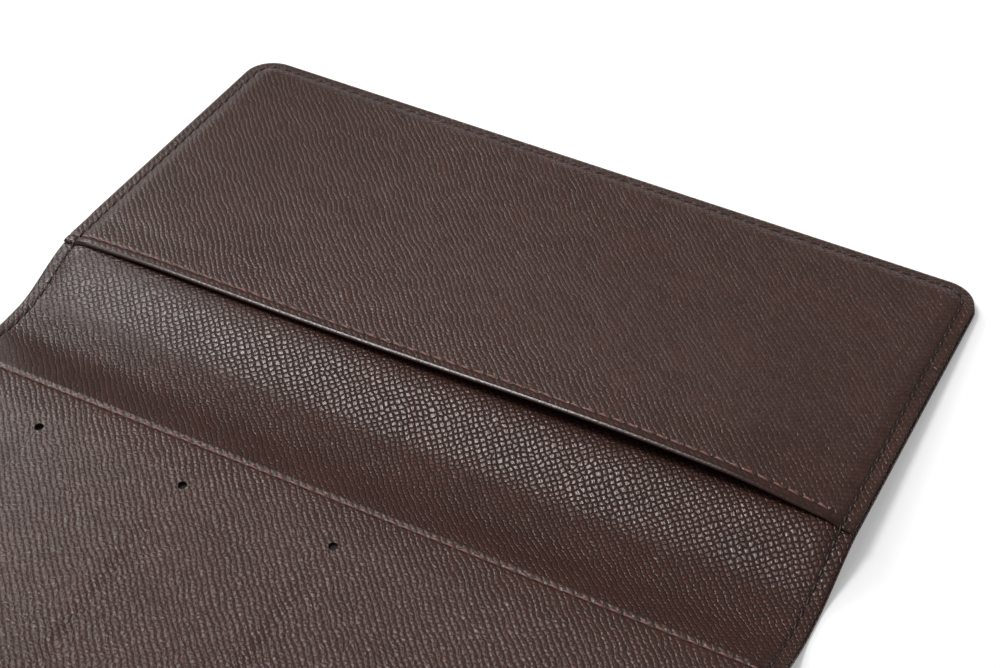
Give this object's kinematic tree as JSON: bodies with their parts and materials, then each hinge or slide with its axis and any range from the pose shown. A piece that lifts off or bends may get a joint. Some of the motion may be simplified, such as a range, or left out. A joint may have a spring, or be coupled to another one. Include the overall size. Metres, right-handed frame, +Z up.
{
  "type": "agenda cover",
  "caption": "Slim leather agenda cover lying open, with a full-height diary pocket inside one half and a slit card panel inside the other, folding at the spine.",
  "frame": {"origin": "on the table under the middle of the open cover: the middle of the spine", "axes": "+X across the cover, from the front half to the half with the diary pocket; +Y along the spine towards the top of the book; +Z up, with the cover lying open on its outside"},
  "size_m": [0.2, 0.178, 0.0109],
  "materials": {
    "outer_leather": "dark brown cross-grain leather, half-gloss finish, turned and glued edge",
    "lining_leather": "dark brown fine cross-grain leather, waxy half-gloss on the pebbles, dark lockstitch",
    "greyboard": "plain grey paper board, hidden between the leathers",
    "bag_cloth": "thin brown bag cloth, matte"
  },
  "bodies": {
    "back_cover": {"back_cover_leather": "outer_leather", "back_board": "greyboard", "back_lining": "lining_leather", "diary_pocket": "lining_leather"},
    "spine": {"spine_leather": "outer_leather", "spine_lining": "lining_leather"},
    "front_cover": {"front_cover_leather": "outer_leather", "front_board": "greyboard", "front_lining": "lining_leather", "card_panel": "lining_leather", "card_pocket_top": "bag_cloth", "card_pocket_middle": "bag_cloth", "card_pocket_bottom": "bag_cloth"}
  },
  "joints": [
    {"name": "back_fold", "type": "hinge", "parent": "back_cover", "child": "spine", "pos_m": [0.0105, 0, 0.00375], "axis": [0, 1, 0], "range_deg": [-3.2, 93.2]},
    {"name": "front_fold", "type": "hinge", "parent": "spine", "child": "front_cover", "pos_m": [-0.0105, 0, 0.00375], "axis": [0, 1, 0], "range_deg": [-3.2, 93.2]}
  ]
}
